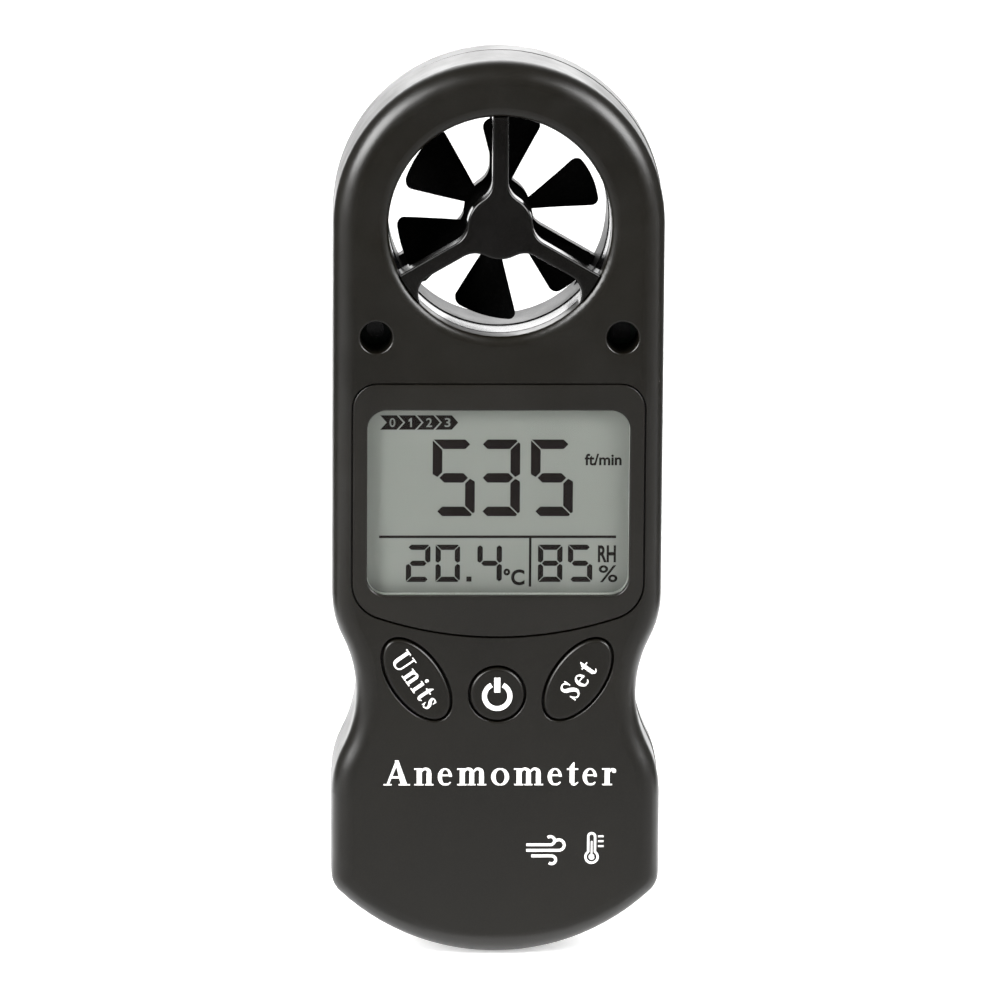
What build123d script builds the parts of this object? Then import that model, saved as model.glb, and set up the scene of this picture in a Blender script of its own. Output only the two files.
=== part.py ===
from build123d import *

# Hand-held vane anemometer with a liquid-crystal display, as an assembly of separate pieces.
#
# Frame: millimetres, +Z up along the body, +X to the right of somebody who reads the display, +Y from the
# display towards the back. The origin is under the middle of the body, level with its lowest point.
# "Depth" is always measured backwards from the flat of the front housing.

import math
import os

# ---- driving dimensions -------------------------------------------------------------------------------
BODY_WIDTH = 48.4
BODY_THICKNESS = 19.0
HALF_WIDTH = BODY_WIDTH / 2
VANE_Z = 109.4  # height of the impeller's axis
HEAD_RADIUS = HALF_WIDTH
BOTTOM_RADIUS = 33.3
BOTTOM_CORNER = 4.0
WAIST_Z = 39.3
WAIST_HALF = 20.6
WAIST_HOLLOW_RADIUS = 18.5
WAIST_TURN = math.radians(27)  # how far the side leans where the hollow meets the swell
WALL = 1.8
PARTING = 12.4  # depth where the two housings meet
FRONT_ROUND = 3.2
BACK_ROUND = 2.5
SEAM_CHAMFER = 0.2
SHELL_SHIFT = 0.07  # the front shell sits this far to the left of the middle and the rear one to the right
INNER_START = 1.0  # depth inside the front wall where the features behind it start
BACK_OVERLAP = 0.5  # how far the features inside the rear shell run into its wall
TONGUE_IN = 0.85
TONGUE_OUT = 1.75
TONGUE_LENGTH = 1.0
GAP = 0.1  # assembly clearance between neighbouring pieces

KEY_PROUD = 0.25  # how far the keys stand out of the front
FRONT_Y = KEY_PROUD - (BODY_THICKNESS + KEY_PROUD) / 2

# vane cartridge
LIP_RADIUS = 16.3
LIP_FLARE = (1.4, 1.0)  # the front mouth opens by the first over a depth of the second
LIP_DEPTH = 3.9
REAR_LIP_RADIUS = 16.65
REAR_LIP_ROUND = 1.35
REAR_LIP_DEPTH = 2.0
SEAT_RADIUS = 17.5  # bore of the collars that hold the cartridge
COLLAR_RADIUS = 18.8
DUCT_OUTER = 17.4
FRONT_DUCT_INNER = 16.25
REAR_DUCT_INNER = 16.1
FRONT_NOSE = 16.2  # outer radius of the part of a guard that stands inside the housing's lip
REAR_NOSE = 16.55
GUARD_SINK = 0.3  # how far the front guard's face lies below the flat of the housing
REAR_GUARD_SINK = 1.1
GUARD_SPLIT = 9.0  # depth where the two guards meet
SPLIT_GAP = 0.12
GUARD_HUB = 4.8
HUB_STEP = 0.6  # the hub's raised middle is this much smaller
HUB_REACH = 0.9  # how far the raised middle stands out of the spokes
SHAFT_PLAY = 0.3  # end play of the shaft at each bearing
SPOKE_WIDTH = 2.3
SPOKE_FOOT = 1.6  # radial length of the feet that join the spokes to the ring
SPOKE_ANGLES = (90, 210, 330)
SPOKE_THICKNESS = 2.8
SPOKE_ROUND = 0.35
SPOKE_ROOT_ROUND = 3.2
SPOKE_FOOT_ROUND = 1.6
LOW_FOOT_ROUND = 3.0  # in the corners of the lowest air passage
WEB_BITE = 0.1  # how far the air passages reach into the ring
WEB_RIM = 1.0  # how far the web runs into the ring
FRONT_SPOKE_DEPTH = GUARD_SINK
REAR_SPOKE_DEPTH = BODY_THICKNESS - REAR_GUARD_SINK - SPOKE_THICKNESS
SHAFT_RADIUS = 0.5
BEARING_BORE = 0.53
BEARING_RADIUS = 1.5
BEARING_LENGTH = 1.6

# impeller
BLADES = 6
BLADE_TIP = 14.9
BLADE_APEX = 2.5  # radius where the two edges of a blade would meet
BLADE_HALF_ANGLE = math.radians(22)
BLADE_THICKNESS = 0.7
BLADE_CORNER = 1.1
ROOT_PITCH = 52  # degrees from the plane of rotation
TIP_PITCH = 37
FIRST_BLADE = 22  # degrees anticlockwise from +X, seen from the front
BLADE_MIDDLE = 9.9  # depth of the plane that the blades cross
IMPELLER_HUB = 5.0
IMPELLER_FRONT = 5.5
IMPELLER_BACK = 13.4
MAGNET_RADIUS = 2.6
MAGNET_FRONT = 10.4

# display
PANEL_HALF = 21.35
PANEL_TOP = 86.1
PANEL_BOTTOM = 48.3
PANEL_ARC = 55.0
PANEL_TOP_CORNER = 3.6
PANEL_LOW_CORNER = 5.5
PANEL_SINK = 0.1
PANEL_DEPTH = 1.3
PANEL_GAP = 0.22
PANEL_ROUND = 0.22
LEDGE = 1.2  # width of the ledges round the panel and the keys
LEDGE_DEPTH = 2.3
WINDOW = (38.4, 27.8)
WINDOW_Z = 68.3
WINDOW_CORNER = 2.8
PANE_DEPTH = 2.1
PANE_MARGIN = 0.9
GLASS_DEPTH = 2.7
GLASS_BACK = 4.9
GLASS = (40.8, 30.6)
DIFFUSER_BACK = 6.8
FRAME_OUTER = (42.8, 32.6)
BOARD_DEPTH = 8.0
BOARD_BACK = 9.2

# keys
KEY_Z = 39.7
SIDE_KEY_Z = 41.9
SIDE_KEY_X = 11.86
SIDE_KEY_AXES = (7.2, 3.95)
SIDE_KEY_LEAN = 35  # degrees from upright
ROUND_KEY = 4.25
KEY_GAP = 0.3
KEY_ROUND = 0.45
KEY_MOUTH_ROUND = 0.25
KEY_FLANGE = 0.7
KEY_FLANGE_DEPTH = 2.5
KEY_FLANGE_BACK = 3.3
NIB_RADIUS = 1.5
PLUNGER_DEPTH = 4.4
PLUNGER_RADIUS = 1.0
SWITCH_DEPTH = 5.2
SWITCH_SIDE = 5.0

# ports, screws, battery
PORT_X = 18.0
PORT_Z = 93.1
PORT_RADIUS = 2.35
PORT_EDGE = 0.3
VENT = (6.4, 1.1)  # length and height of the slots in the back
VENT_X = 16.2
VENT_Z = 93.6
VENT_PITCH = 2.2
PORT_TUBE = 3.3
PORT_TUBE_BACK = 6.6
BOSSES = ((-9.5, 88.4), (9.5, 88.4), (-18.4, 16.6), (18.4, 16.6))
BOSS_RADIUS = 2.7
PILOT_RADIUS = 1.15
PILOT_DEPTH = 5.5
SCREW_RADIUS = 1.1
SCREW_TIP = 6.2
SCREW_SEAT = 13.6
SCREW_HEAD_RADIUS = 2.1
SCREW_HEAD_HEIGHT = 1.5
HEAD_WELL = 2.4
DRIVE_SLOT = (2.4, 0.55)
DOOR_HALF = 12.6
DOOR_FLANGE = 0.8
DOOR_TOP = 33.0
DOOR_INNER = 17.1
DOOR_STEP = 18.05
THUMB = (17.0, 8.4)  # the hollow for the thumb
THUMB_Z = 25.6
ARROW_Z = 15.0
BAY_HALF = 12.0
BAY_LOW = 7.6
BAY_HIGH = 31.2
BAY_FLOOR = 12.4
BAY_BASE = 13.2  # depth of the surface that the contacts stand on
BAY_WALL = 2.7
CELL_RADIUS = 10.0
CELL_HEIGHT = 3.2
CELL_Z = 18.9
CELL_FRONT = 13.7
CELL_STEP = (1.1, 0.75)  # the negative side is smaller in radius by the first, over a height of the second


# ---- helpers ------------------------------------------------------------------------------------------
def slab(shape, front, back):
    """A flat outline, drawn in X and Z, given thickness from one depth to another."""
    plane = Plane.XZ.offset(-(FRONT_Y + back))
    return extrude(plane * shape, amount=back - front)


def disc(x, z, radius, front, back):
    return slab(Pos(x, z) * Circle(radius), front, back)


def ring(x, z, outer, inner, front, back):
    return disc(x, z, outer, front, back) - disc(x, z, inner, front - 1, back + 1)


def rim(solid, back=False):
    """The edges round the frontmost face of a solid, or the backmost."""
    return solid.faces().sort_by(Axis.Y)[-1 if back else 0].edges()


def body_outline():
    """The front view of the body: round head, waisted grip and bowed bottom."""
    hollow_rise = WAIST_HOLLOW_RADIUS * math.sin(WAIST_TURN)
    hollow_x = WAIST_HALF + WAIST_HOLLOW_RADIUS * (1 - math.cos(WAIST_TURN))
    swell_radius = (HALF_WIDTH - hollow_x) / (1 - math.cos(WAIST_TURN))
    reach = hollow_rise + swell_radius * math.sin(WAIST_TURN)
    corner_z = BOTTOM_RADIUS - math.sqrt(BOTTOM_RADIUS**2 - HALF_WIDTH**2)

    def side(s):
        low, high = (s * HALF_WIDTH, WAIST_Z - reach), (s * HALF_WIDTH, WAIST_Z + reach)
        bend_low, bend_high = (s * hollow_x, WAIST_Z - hollow_rise), (s * hollow_x, WAIST_Z + hollow_rise)
        return [
            Line((s * HALF_WIDTH, corner_z), low),
            TangentArc(low, bend_low, tangent=(0, 1)),
            ThreePointArc(bend_low, (s * WAIST_HALF, WAIST_Z), bend_high),
            TangentArc(high, bend_high, tangent=(0, -1)),
            Line(high, (s * HALF_WIDTH, VANE_Z)),
        ]

    bottom = ThreePointArc((-HALF_WIDTH, corner_z), (0, 0), (HALF_WIDTH, corner_z))
    head = ThreePointArc((HALF_WIDTH, VANE_Z), (0, VANE_Z + HEAD_RADIUS), (-HALF_WIDTH, VANE_Z))
    face = make_face([*side(1), head, *side(-1), bottom])
    corners = face.vertices().sort_by(Axis.Y)[:2]
    return fillet(corners, BOTTOM_CORNER)


def panel_outline():
    """The display panel: square top, bowed bottom."""
    low = PANEL_BOTTOM + PANEL_ARC - math.sqrt(PANEL_ARC**2 - PANEL_HALF**2)
    left, right = (-PANEL_HALF, low), (PANEL_HALF, low)
    face = make_face(
        [
            ThreePointArc(left, (0, PANEL_BOTTOM), right),
            Line(right, (PANEL_HALF, PANEL_TOP)),
            Line((PANEL_HALF, PANEL_TOP), (-PANEL_HALF, PANEL_TOP)),
            Line((-PANEL_HALF, PANEL_TOP), left),
        ]
    )
    face = fillet(face.vertices().sort_by(Axis.Y)[-2:], PANEL_TOP_CORNER)
    return fillet(face.vertices().sort_by(Axis.Y)[:2], PANEL_LOW_CORNER)


def window_outline(margin=0.0):
    width, height = WINDOW[0] + 2 * margin, WINDOW[1] + 2 * margin
    return Pos(0, WINDOW_Z) * RectangleRounded(width, height, WINDOW_CORNER)


def block(x, z, width, height, front, back):
    return slab(Pos(x, z) * Rectangle(width, height), front, back)


def key_outline(name, margin=0.0):
    """A key's outline: "power" is round, "units" and "set" are leaning ovals."""
    if name == "power":
        return Pos(0, KEY_Z) * Circle(ROUND_KEY + margin)
    side = -1 if name == "units" else 1
    oval = Ellipse(SIDE_KEY_AXES[1] + margin, SIDE_KEY_AXES[0] + margin)
    return Pos(side * SIDE_KEY_X, SIDE_KEY_Z) * Rot(0, 0, -side * SIDE_KEY_LEAN) * oval


def key_centre(name):
    if name == "power":
        return 0.0, KEY_Z
    return (-1 if name == "units" else 1) * SIDE_KEY_X, SIDE_KEY_Z


KEYS = ("units", "power", "set")
BODY = body_outline()


# ---- housings -----------------------------------------------------------------------------------------
def front_housing():
    shell = slab(Pos(-SHELL_SHIFT, 0) * BODY, 0, PARTING)
    shell = fillet(rim(shell), FRONT_ROUND)
    shell = chamfer(rim(shell, back=True), SEAM_CHAMFER)
    solid_form = shell
    shell -= slab(offset(BODY, -WALL), WALL, PARTING + 1)
    shell -= slab(offset(BODY, -TONGUE_IN), PARTING - TONGUE_LENGTH, PARTING + 1)
    ledge = slab(offset(panel_outline(), PANEL_GAP + LEDGE), INNER_START, LEDGE_DEPTH)
    collar = disc(0, VANE_Z, COLLAR_RADIUS, INNER_START, PARTING - GAP)
    tubes = [disc(s * PORT_X, PORT_Z, PORT_TUBE, INNER_START, PORT_TUBE_BACK) for s in (-1, 1)]
    bosses = [disc(x, z, BOSS_RADIUS, INNER_START, PARTING) for x, z in BOSSES]
    guides = [slab(key_outline(k, LEDGE), INNER_START, LEDGE_DEPTH) for k in KEYS]
    for extra in [ledge, collar, *tubes, *bosses, *guides]:
        shell += extra & solid_form
    shell -= disc(0, VANE_Z, SEAT_RADIUS, LIP_DEPTH, PARTING + 1)
    shell -= disc(0, VANE_Z, LIP_RADIUS, -1, LIP_DEPTH + 1)
    shell -= mouth_flare()
    shell -= slab(offset(panel_outline(), PANEL_GAP), -1, PANEL_DEPTH)
    shell -= slab(window_outline(PANE_MARGIN + GAP), PANEL_DEPTH - 1, LEDGE_DEPTH + 1)
    for key in KEYS:
        shell -= slab(key_outline(key), -1, LEDGE_DEPTH + 1)
    for side in (-1, 1):
        shell -= disc(side * PORT_X, PORT_Z, PORT_RADIUS, -1, PORT_TUBE_BACK + 1)
    for x, z in BOSSES:
        shell -= disc(x, z, PILOT_RADIUS, PILOT_DEPTH, PARTING + 1)
    return round_front_edges(shell)


def mouth_flare():
    """The smooth widening of the vane's opening towards the front, as a solid to cut away."""
    bore, flat = LIP_RADIUS, FRONT_Y
    wide, deep = LIP_FLARE
    corner = 1 - 0.5523  # makes the curve a quarter of an ellipse
    curve = Bezier(
        (bore, flat + deep, 0),
        (bore, flat + deep * corner, 0),
        (bore + wide * corner, flat, 0),
        (bore + wide, flat, 0),
    )
    outline = [
        curve,
        Line((bore + wide, flat, 0), (bore + wide, flat - 1, 0)),
        Line((bore + wide, flat - 1, 0), (bore - 1, flat - 1, 0)),
        Line((bore - 1, flat - 1, 0), (bore - 1, flat + deep, 0)),
        Line((bore - 1, flat + deep, 0), (bore, flat + deep, 0)),
    ]
    return Pos(0, 0, VANE_Z) * revolve(make_face(outline), axis=Axis.Y)


def round_front_edges(shell):
    """Rounds the mouths of the ports and of the key openings in the flat of the front housing."""

    def mouth(x, z, reach):
        flat = [e for e in shell.edges().filter_by(Plane.XZ) if abs(e.center().Y - FRONT_Y) < 0.01]
        return [
            e
            for e in flat
            if math.hypot(e.bounding_box().center().X - x, e.bounding_box().center().Z - z) < reach
            and e.bounding_box().size.X < BODY_WIDTH * 0.9
        ]

    for side in (-1, 1):
        shell = fillet(mouth(side * PORT_X, PORT_Z, 1.0), PORT_EDGE)
    for key in KEYS:
        x, z = key_centre(key)
        shell = fillet(mouth(x, z, 1.0), KEY_MOUTH_ROUND)
    return shell


def rear_housing():
    shell = slab(Pos(SHELL_SHIFT, 0) * BODY, PARTING, BODY_THICKNESS)
    shell = fillet(rim(shell, back=True), BACK_ROUND)
    shell = chamfer(rim(shell), SEAM_CHAMFER)
    solid_form = shell
    inner_back = DOOR_INNER
    shell -= slab(offset(BODY, -WALL), PARTING - 1, inner_back)
    tongue = slab(offset(BODY, -TONGUE_IN - GAP), PARTING - TONGUE_LENGTH + GAP, PARTING + 0.4)
    shell += tongue - slab(offset(BODY, -TONGUE_OUT), PARTING - 3, PARTING + 3)
    collar = disc(0, VANE_Z, COLLAR_RADIUS, PARTING, inner_back + BACK_OVERLAP)
    posts = [disc(x, z, BOSS_RADIUS + 0.7, PARTING, inner_back + BACK_OVERLAP) for x, z in BOSSES]
    bay_height = BAY_HIGH - BAY_LOW
    bay_middle = (BAY_HIGH + BAY_LOW) / 2
    bay_size = (2 * (BAY_HALF + BAY_WALL), bay_height + 2 * BAY_WALL)
    bay = block(0, bay_middle, *bay_size, BAY_FLOOR, inner_back + BACK_OVERLAP)
    for extra in [collar, *posts, bay]:
        shell += extra & solid_form
    shell -= disc(0, VANE_Z, SEAT_RADIUS, PARTING - 1, BODY_THICKNESS - REAR_LIP_DEPTH)
    shell -= disc(0, VANE_Z, REAR_LIP_RADIUS, PARTING, BODY_THICKNESS + 1)
    shell -= block(0, bay_middle, 2 * BAY_HALF, bay_height, BAY_BASE, BODY_THICKNESS)
    for x, z in BOSSES:
        shell -= disc(x, z, PILOT_RADIUS + 0.2, PARTING - 1, SCREW_SEAT + 1)
        shell -= disc(x, z, HEAD_WELL, SCREW_SEAT, BODY_THICKNESS + 1)
    shell -= door_space(GAP)
    for side in (-1, 1):
        for row in range(3):
            slot = Pos(side * VENT_X, VENT_Z + VENT_PITCH * (row - 1)) * SlotOverall(*VENT)
            shell -= slab(slot, inner_back - 1, BODY_THICKNESS + 1)
    lips = [
        e
        for e in shell.edges().filter_by(GeomType.CIRCLE)
        if abs(e.radius - REAR_LIP_RADIUS) < 0.01 and abs(e.center().Y - FRONT_Y - BODY_THICKNESS) < 0.01
    ]
    return fillet(lips, REAR_LIP_ROUND)


def door_space(clearance):
    """The stepped prism that the battery door fills, open at the bottom so that the door slides out."""
    top = DOOR_TOP + clearance
    outer = block(0, top / 2 - 5, 2 * (DOOR_HALF + clearance), top + 10, DOOR_STEP - clearance, BODY_THICKNESS + 1)
    width = 2 * (DOOR_HALF + DOOR_FLANGE + clearance)
    inner = block(0, top / 2 - 5, width, top + 10, DOOR_INNER - 0.01, DOOR_STEP + clearance)
    return outer + inner


def battery_door():
    form = slab(Pos(SHELL_SHIFT, 0) * BODY, PARTING, BODY_THICKNESS)
    form = fillet(rim(form, back=True), BACK_ROUND)
    top = DOOR_TOP
    outer = block(0, top / 2, 2 * DOOR_HALF, top, DOOR_STEP - 0.2, BODY_THICKNESS + 1)
    inner = block(0, top / 2, 2 * (DOOR_HALF + DOOR_FLANGE), top, DOOR_INNER + GAP, DOOR_STEP - GAP)
    door = form & (outer + inner)
    door -= slab(Pos(0, THUMB_Z) * SlotOverall(*THUMB), BODY_THICKNESS - 0.5, BODY_THICKNESS + 1)
    for row in range(-2, 3):
        door += block(0, THUMB_Z + 1.4 * row, 10.0, 0.6, BODY_THICKNESS - 1.0, BODY_THICKNESS - 0.1)
    arrow = Pos(0, ARROW_Z) * Polygon((0, -3.0), (-3.2, 1.4), (3.2, 1.4), align=None)
    return door - slab(arrow, BODY_THICKNESS - 0.35, BODY_THICKNESS + 1)


# ---- vane cartridge -----------------------------------------------------------------------------------
def guard_windows(inner):
    """The outline of the three air passages between a guard's spokes, with rounded corners. They reach a
    little way into the ring, so that the spokes still flare where they meet its bore."""
    reach = inner + WEB_BITE
    web = Circle(reach) - Circle(GUARD_HUB)
    for angle in SPOKE_ANGLES:
        web -= Rot(0, 0, angle) * Pos(reach / 2 + 1, 0) * Rectangle(reach + 2, SPOKE_WIDTH)
    roots = [v for v in web.vertices() if math.hypot(v.X, v.Y) < reach / 2]
    web = fillet(roots, SPOKE_ROOT_ROUND)
    low = web.faces().sort_by(Axis.Y)[0]
    high = web - low
    passages = [(low, LOW_FOOT_ROUND)] + [(face, SPOKE_FOOT_ROUND) for face in high.faces()]
    rounded = Sketch()
    for passage, radius in passages:
        feet = [v for v in passage.vertices() if math.hypot(v.X, v.Y) > reach - 0.01]
        rounded += fillet(feet, radius)
    return Pos(0, VANE_Z) * rounded


def guard(inner, nose, face, shoulder, split, side):
    """One half of the cartridge: duct ring, three spokes and a hub with a pocket for its bearing. The
    depths are those of its outer face, of the shoulder under the housing's lip and of its inner end;
    side is 1 for the front half and -1 for the rear half."""
    body = ring(0, VANE_Z, DUCT_OUTER, inner, *sorted((shoulder, split)))
    if nose > inner:
        body += ring(0, VANE_Z, nose, inner, *sorted((face, shoulder)))
    web_radius = inner + WEB_RIM
    windows = slab(guard_windows(inner), -1, BODY_THICKNESS + 1)
    spoke_front, spoke_back = sorted((face, face + side * SPOKE_THICKNESS))
    web = disc(0, VANE_Z, web_radius, spoke_front, spoke_back) - windows
    edges = [e for e in rim(web, back=side < 0) if e.length < 2 * math.pi * inner]
    web = fillet(edges, SPOKE_ROUND)
    feet = sorted((face + side * 1.0, shoulder + side * 1.0))
    web += ring(0, VANE_Z, web_radius, nose - SPOKE_FOOT, *feet) - windows
    web -= ring(0, VANE_Z, DUCT_OUTER + 1, nose, *sorted((face - side, shoulder)))
    hub_in, hub_out = sorted((spoke_front + SPOKE_THICKNESS / 2, hub_end(spoke_front, side)))
    body += web + disc(0, VANE_Z, GUARD_HUB - HUB_STEP, hub_in, hub_out)
    pocket_in, pocket_out = bearing_span(spoke_front, side)
    body -= disc(0, VANE_Z, BEARING_RADIUS, *sorted((pocket_in, pocket_out)))
    end_gap = sorted((pocket_in, pocket_in - side * 0.5))
    return body - disc(0, VANE_Z, SHAFT_RADIUS + 0.2, *end_gap)


def hub_end(spoke_front, bearing_side):
    """Depth where a guard's hub ends, on the impeller's side."""
    return spoke_front + SPOKE_THICKNESS + HUB_REACH if bearing_side > 0 else spoke_front - HUB_REACH


def bearing_span(spoke_front, bearing_side):
    """Depths of a bearing's hidden end and of its end towards the impeller."""
    end = hub_end(spoke_front, bearing_side)
    return end - bearing_side * BEARING_LENGTH, end


def bearing(spoke_front, bearing_side):
    span = sorted(bearing_span(spoke_front, bearing_side))
    return ring(0, VANE_Z, BEARING_RADIUS, BEARING_BORE, *span)


def blade():
    """One blade, pointing up from the axis: a twisted plate trimmed to a wedge with round corners."""
    half_tip = (BLADE_TIP - BLADE_APEX) * math.tan(BLADE_HALF_ANGLE)
    wedge = Polygon((0, BLADE_APEX), (half_tip * 1.2, BLADE_TIP * 1.2 - 0.2 * BLADE_APEX),
                    (-half_tip * 1.2, BLADE_TIP * 1.2 - 0.2 * BLADE_APEX), align=None)
    wedge = wedge & Circle(BLADE_TIP)
    tips = [v for v in wedge.vertices() if math.hypot(v.X, v.Y) > BLADE_TIP - 0.5]
    planform = slab(fillet(tips, BLADE_CORNER), IMPELLER_FRONT - 4, IMPELLER_BACK + 4)
    middle = FRONT_Y + BLADE_MIDDLE
    sections = [
        Pos(0, middle, radius) * Rot(0, 0, pitch) * Rectangle(15.0, BLADE_THICKNESS)
        for radius, pitch in ((2.0, ROOT_PITCH), (BLADE_TIP + 1, TIP_PITCH))
    ]
    return loft(sections, ruled=True) & planform


def impeller():
    hub = disc(0, 0, IMPELLER_HUB, IMPELLER_FRONT, IMPELLER_BACK)
    hub = fillet(rim(hub), 0.8)
    body = hub
    plain = blade()
    for i in range(BLADES):
        body += Rot(0, -(FIRST_BLADE - 90 + i * 360 / BLADES), 0) * plain
    body -= disc(0, 0, SHAFT_RADIUS, IMPELLER_FRONT - 1, IMPELLER_BACK + 1)
    body -= disc(0, 0, MAGNET_RADIUS, MAGNET_FRONT, IMPELLER_BACK + 1)
    return Pos(0, 0, VANE_Z) * body


def impeller_shaft():
    front = bearing_span(FRONT_SPOKE_DEPTH, 1)[0] - SHAFT_PLAY
    back = bearing_span(REAR_SPOKE_DEPTH, -1)[0] + SHAFT_PLAY
    return disc(0, VANE_Z, SHAFT_RADIUS, front, back)


# ---- display stack ------------------------------------------------------------------------------------
def display_panel():
    panel = slab(panel_outline(), PANEL_SINK, PANEL_DEPTH)
    panel -= slab(window_outline(), -1, PANEL_DEPTH + 1)
    return fillet(rim(panel), PANEL_ROUND)


def lcd_frame():
    outer = Pos(0, WINDOW_Z) * RectangleRounded(*FRAME_OUTER, 1.0)
    frame = slab(outer, LEDGE_DEPTH + 0.05, BOARD_DEPTH - 0.05)
    frame -= slab(window_outline(), 1, BOARD_DEPTH)
    return frame - block(0, WINDOW_Z, GLASS[0] + 0.2, GLASS[1] + 0.2, GLASS_DEPTH - 0.02, BOARD_DEPTH + 1)


def contact_strips():
    """Two rubber strips that carry the signals from the board to the glass."""
    strips = [
        block(0, WINDOW_Z + s * (GLASS[1] / 2 - 1.0), GLASS[0] - 3, 1.8, GLASS_BACK + 0.05, BOARD_DEPTH - 0.05)
        for s in (-1, 1)
    ]
    return Compound(children=strips)


# ---- keys ---------------------------------------------------------------------------------------------
def key(name):
    x, z = key_centre(name)
    cap = slab(key_outline(name, -KEY_GAP), -KEY_PROUD, KEY_FLANGE_BACK)
    cap = fillet(rim(cap), KEY_ROUND)
    flange = slab(key_outline(name, KEY_FLANGE), KEY_FLANGE_DEPTH, KEY_FLANGE_BACK)
    return cap + flange + disc(x, z, NIB_RADIUS, KEY_FLANGE_BACK - 0.1, PLUNGER_DEPTH)


def tact_switches():
    """Three push switches: each is a square case with a well for its plunger."""
    cases = []
    for name in KEYS:
        x, z = key_centre(name)
        case = block(x, z, SWITCH_SIDE, SWITCH_SIDE, SWITCH_DEPTH, BOARD_DEPTH)
        cases.append(case - disc(x, z, PLUNGER_RADIUS + 0.1, SWITCH_DEPTH - 1, BOARD_DEPTH - 0.5))
    return Compound(children=cases)


def plunger(name):
    x, z = key_centre(name)
    return disc(x, z, PLUNGER_RADIUS, PLUNGER_DEPTH, BOARD_DEPTH - 1.4)


# ---- electronics and battery --------------------------------------------------------------------------
def main_board():
    low, high = 12.5, VANE_Z - 14.5
    outline = offset(BODY, -WALL - 0.6) & Pos(0, (low + high) / 2) * Rectangle(BODY_WIDTH, high - low)
    outline -= Pos(0, VANE_Z) * Circle(COLLAR_RADIUS + 0.4)
    for x, z in BOSSES:
        outline -= Pos(x, z) * Circle(BOSS_RADIUS + 0.3)
    return slab(outline, BOARD_DEPTH, BOARD_BACK)


def board_components():
    """Small parts on the back of the board, as x, z, width and height."""
    small = [(-12, 70, 1.6, 0.9), (-12, 67, 1.6, 0.9), (12, 70, 1.6, 0.9), (12, 67, 1.6, 0.9),
             (12, 64, 1.6, 0.9), (-14, 58, 3.2, 1.7), (14, 55, 3.2, 1.7), (-6, 49, 1.6, 0.9), (6, 49, 1.6, 0.9)]
    return Compound(children=[block(x, z, w, h, BOARD_BACK, BOARD_BACK + 0.9) for x, z, w, h in small])


def housing_screws():
    screws = []
    for x, z in BOSSES:
        head = disc(x, z, SCREW_HEAD_RADIUS, SCREW_SEAT, SCREW_SEAT + SCREW_HEAD_HEIGHT)
        head = fillet(rim(head, back=True), 0.5)
        drive = Rectangle(*DRIVE_SLOT) + Rectangle(*DRIVE_SLOT[::-1])
        head -= slab(Pos(x, z) * drive, SCREW_SEAT + 0.6, SCREW_SEAT + SCREW_HEAD_HEIGHT + 1)
        screws.append(head + disc(x, z, SCREW_RADIUS, SCREW_TIP, SCREW_SEAT))
    return Compound(children=screws)


def coin_cell():
    narrower, step = CELL_STEP
    can = disc(0, CELL_Z, CELL_RADIUS, CELL_FRONT + step, CELL_FRONT + CELL_HEIGHT)
    can = fillet(rim(can, back=True), 0.4)
    return can + disc(0, CELL_Z, CELL_RADIUS - narrower, CELL_FRONT, CELL_FRONT + step + 0.1)


def negative_contact():
    """Flat spring on the floor of the bay, under the middle of the cell, with a raised tongue."""
    strip = block(0, CELL_Z, 3.0, 16.0, BAY_BASE, BAY_BASE + 0.25)
    return strip + disc(0, CELL_Z, 2.4, BAY_BASE, CELL_FRONT)


def positive_contact():
    """Upright blade that touches the side of the cell from above."""
    top = CELL_Z + CELL_RADIUS
    foot = block(0, top + 1.2, 6.0, 1.9, BAY_BASE, BAY_BASE + 0.3)
    return foot + block(0, top + 0.25, 6.0, 0.4, BAY_BASE, 16.8)


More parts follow.
